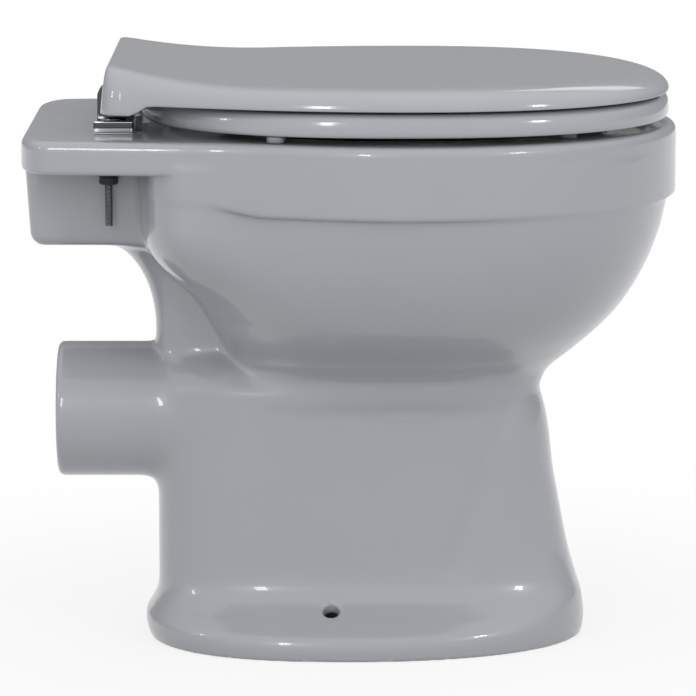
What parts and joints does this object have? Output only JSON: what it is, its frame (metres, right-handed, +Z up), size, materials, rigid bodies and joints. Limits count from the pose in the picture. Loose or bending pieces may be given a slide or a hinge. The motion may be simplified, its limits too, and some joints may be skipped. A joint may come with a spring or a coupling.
{
  "type": "floor-standing toilet",
  "caption": "Ceramic floor-standing toilet pan with a rear outlet pipe and rear flush inlet, and a hinged seat and lid.",
  "frame": {"origin": "on the floor, at the centre of the object's footprint box", "axes": "+X towards the front of the bowl, +Y towards the sitter's left, +Z up; the object is even about the plane Y = 0"},
  "size_m": [0.497, 0.36, 0.4529],
  "materials": {
    "glazed_ceramic": "glossy cool grey glaze",
    "seat_plastic": "glossy moulded thermoset, cool grey",
    "lid_plastic": "glossy moulded thermoset, cool grey",
    "gasket": "clear soft pad",
    "hinge_chrome": "polished chrome",
    "pin_steel": "turned steel",
    "stud_steel": "zinc-plated threaded rod",
    "sleeve_plastic": "natural nylon",
    "washer_rubber": "black rubber",
    "nut_plastic": "black plastic",
    "buffer": "translucent grey-white soft plastic"
  },
  "bodies": {
    "root": {"pan": "glazed_ceramic", "hinge_gasket_left": "gasket", "hinge_gasket_right": "gasket", "hinge_base_left": "hinge_chrome", "hinge_base_right": "hinge_chrome", "hinge_post_left": "hinge_chrome", "hinge_post_right": "hinge_chrome", "hinge_pin_left": "pin_steel", "hinge_pin_right": "pin_steel", "fixing_stud_left": "stud_steel", "fixing_stud_right": "stud_steel", "fixing_sleeve_left": "sleeve_plastic", "fixing_sleeve_right": "sleeve_plastic", "fixing_washer_left": "washer_rubber", "fixing_washer_right": "washer_rubber", "fixing_nut_left": "nut_plastic", "fixing_nut_right": "nut_plastic"},
    "seat": {"seat_ring": "seat_plastic", "seat_buffer_front_left": "buffer", "seat_buffer_front_right": "buffer", "seat_buffer_rear_left": "buffer", "seat_buffer_rear_right": "buffer"},
    "lid": {"seat_lid": "lid_plastic", "lid_buffer_left": "buffer", "lid_buffer_right": "buffer"}
  },
  "joints": [
    {"name": "seat_hinge", "type": "hinge", "parent": "root", "child": "seat", "pos_m": [-0.1792, 0, 0.427], "axis": [0, -1, 0], "range_deg": [0, 98]},
    {"name": "lid_hinge", "type": "hinge", "parent": "root", "child": "lid", "pos_m": [-0.1792, 0, 0.427], "axis": [0, -1, 0], "range_deg": [0, 104]}
  ],
  "couplings": [
    {"joint": "lid_hinge", "follows": "seat_hinge", "ratio": 1.06}
  ]
}
